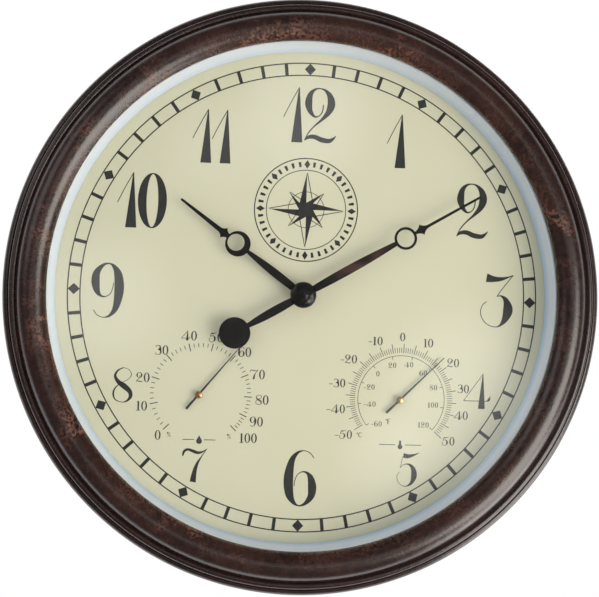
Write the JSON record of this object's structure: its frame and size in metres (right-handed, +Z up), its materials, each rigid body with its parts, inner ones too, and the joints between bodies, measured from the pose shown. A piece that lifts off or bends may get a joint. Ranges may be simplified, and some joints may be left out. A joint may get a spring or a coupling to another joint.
{
  "type": "outdoor wall clock",
  "caption": "Round outdoor wall clock with a moulded rim, glazed dial, pierced hands, thermometer, hygrometer and battery quartz movement.",
  "frame": {"origin": "seat of the wall screw at the top of the keyhole slot, on the plane of the wall", "axes": "+Z up, +X to the right seen from the front, +Y into the wall; the dial faces -Y and the hand axis lies 100 mm below the origin"},
  "size_m": [0.3048, 0.0452, 0.3048],
  "materials": {
    "rim_paint": "moulded plastic, antique bronze paint rubbed through to reddish copper",
    "glass": "clear flat glass",
    "rubber": "matt black rubber",
    "white_plastic": "cool white moulded plastic",
    "dial": "cream printed sheet",
    "black_plastic": "fine moulded black plastic",
    "zinc_steel": "zinc plated steel",
    "brass": "turned brass",
    "board": "green glass fibre board",
    "white_nylon": "moulded white nylon",
    "copper": "copper coloured strip and enamelled wire",
    "magnet": "dark sintered magnet",
    "battery": "plain printed sleeve over a steel can",
    "hand_lacquer": "black lacquered aluminium",
    "hub_lacquer": "glossy black moulded plastic",
    "pointer_paint": "dark grey painted aluminium"
  },
  "bodies": {
    "case": {"rim": "rim_paint", "lens_glass": "glass", "lens_gasket": "rubber", "spacer_ring": "white_plastic", "dial_plate": "dial", "case_seal": "rubber", "back_cover": "black_plastic", "hanger_plate": "zinc_steel", "back_screw_1": "zinc_steel", "back_screw_2": "zinc_steel", "back_screw_3": "zinc_steel", "back_screw_4": "zinc_steel", "back_screw_5": "zinc_steel", "back_screw_6": "zinc_steel", "hanger_screw_1": "zinc_steel", "hanger_screw_2": "zinc_steel", "movement_front_case": "black_plastic", "movement_rear_case": "black_plastic", "mounting_bush": "brass", "mounting_washer": "rubber", "front_washer": "brass", "mounting_nut": "brass", "circuit_board": "board", "quartz_crystal": "zinc_steel", "coil_bobbin": "white_nylon", "coil_winding": "copper", "coil_core": "zinc_steel", "stator": "zinc_steel", "positive_contact": "zinc_steel", "negative_contact": "zinc_steel", "thermometer_cup": "white_plastic", "thermometer_coil": "copper", "hygrometer_cup": "white_plastic", "hygrometer_coil": "copper"},
    "minute_group": {"minute_hand": "hand_lacquer", "minute_shaft": "white_nylon", "hub_cap": "hub_lacquer", "hand_nut": "hub_lacquer"},
    "hour_group": {"hour_hand": "hand_lacquer", "hour_wheel": "white_nylon"},
    "minute_wheel_group": {"minute_wheel": "white_nylon"},
    "knob_group": {"setting_knob": "black_plastic"},
    "seconds_group": {"seconds_wheel": "white_nylon"},
    "third_group": {"third_wheel": "white_nylon"},
    "centre_group": {"centre_wheel": "brass"},
    "intermediate_group": {"intermediate_wheel": "white_nylon"},
    "rotor_group": {"rotor": "magnet"},
    "thermometer_group": {"thermometer_pointer": "pointer_paint", "thermometer_boss": "brass", "thermometer_spindle": "brass"},
    "hygrometer_group": {"hygrometer_pointer": "pointer_paint", "hygrometer_boss": "brass", "hygrometer_spindle": "brass"},
    "battery_group": {"battery_cell": "battery"}
  },
  "joints": [
    {"name": "minute_hand_turn", "type": "hinge", "parent": "case", "child": "minute_group", "pos_m": [0, -0.02, -0.1], "axis": [0, 1, 0], "continuous": true},
    {"name": "hour_hand_turn", "type": "hinge", "parent": "case", "child": "hour_group", "pos_m": [0, -0.02, -0.1], "axis": [0, 1, 0], "continuous": true},
    {"name": "minute_wheel_turn", "type": "hinge", "parent": "case", "child": "minute_wheel_group", "pos_m": [0.00713, -0.0137, -0.101], "axis": [0, 1, 0], "continuous": true},
    {"name": "setting_knob_turn", "type": "hinge", "parent": "case", "child": "knob_group", "pos_m": [0.01426, -0.0027, -0.102], "axis": [0, 1, 0], "continuous": true},
    {"name": "seconds_wheel_turn", "type": "hinge", "parent": "case", "child": "seconds_group", "pos_m": [0, -0.0074, -0.1], "axis": [0, 1, 0], "continuous": true},
    {"name": "third_wheel_turn", "type": "hinge", "parent": "case", "child": "third_group", "pos_m": [0.00459, -0.0095, -0.09205], "axis": [0, 1, 0], "continuous": true},
    {"name": "centre_wheel_turn", "type": "hinge", "parent": "case", "child": "centre_group", "pos_m": [0, -0.0116, -0.1], "axis": [0, 1, 0], "continuous": true},
    {"name": "intermediate_wheel_turn", "type": "hinge", "parent": "case", "child": "intermediate_group", "pos_m": [-0.00811, -0.0053, -0.09532], "axis": [0, 1, 0], "continuous": true},
    {"name": "rotor_turn", "type": "hinge", "parent": "case", "child": "rotor_group", "pos_m": [-0.01358, -0.0053, -0.09073], "axis": [0, 1, 0], "continuous": true},
    {"name": "thermometer_turn", "type": "hinge", "parent": "case", "child": "thermometer_group", "pos_m": [0.0523, -0.02, -0.1528], "axis": [0, 1, 0], "range_deg": [-172, 88], "stiffness_Nm_per_rad": 0.001},
    {"name": "hygrometer_turn", "type": "hinge", "parent": "case", "child": "hygrometer_group", "pos_m": [-0.0523, -0.02, -0.1528], "axis": [0, 1, 0], "range_deg": [-175, 96], "stiffness_Nm_per_rad": 0.001},
    {"name": "battery_slide", "type": "slide", "parent": "case", "child": "battery_group", "axis": [0, 1, 0], "range_m": [0, 0.02]}
  ],
  "couplings": [
    {"joint": "hour_hand_turn", "follows": "minute_hand_turn", "ratio": 0.083333},
    {"joint": "minute_wheel_turn", "follows": "minute_hand_turn", "ratio": -0.33333},
    {"joint": "setting_knob_turn", "follows": "minute_hand_turn", "ratio": 1},
    {"joint": "third_wheel_turn", "follows": "seconds_wheel_turn", "ratio": -0.13333},
    {"joint": "centre_wheel_turn", "follows": "seconds_wheel_turn", "ratio": 0.016667},
    {"joint": "intermediate_wheel_turn", "follows": "seconds_wheel_turn", "ratio": -5},
    {"joint": "rotor_turn", "follows": "seconds_wheel_turn", "ratio": 30}
  ]
}
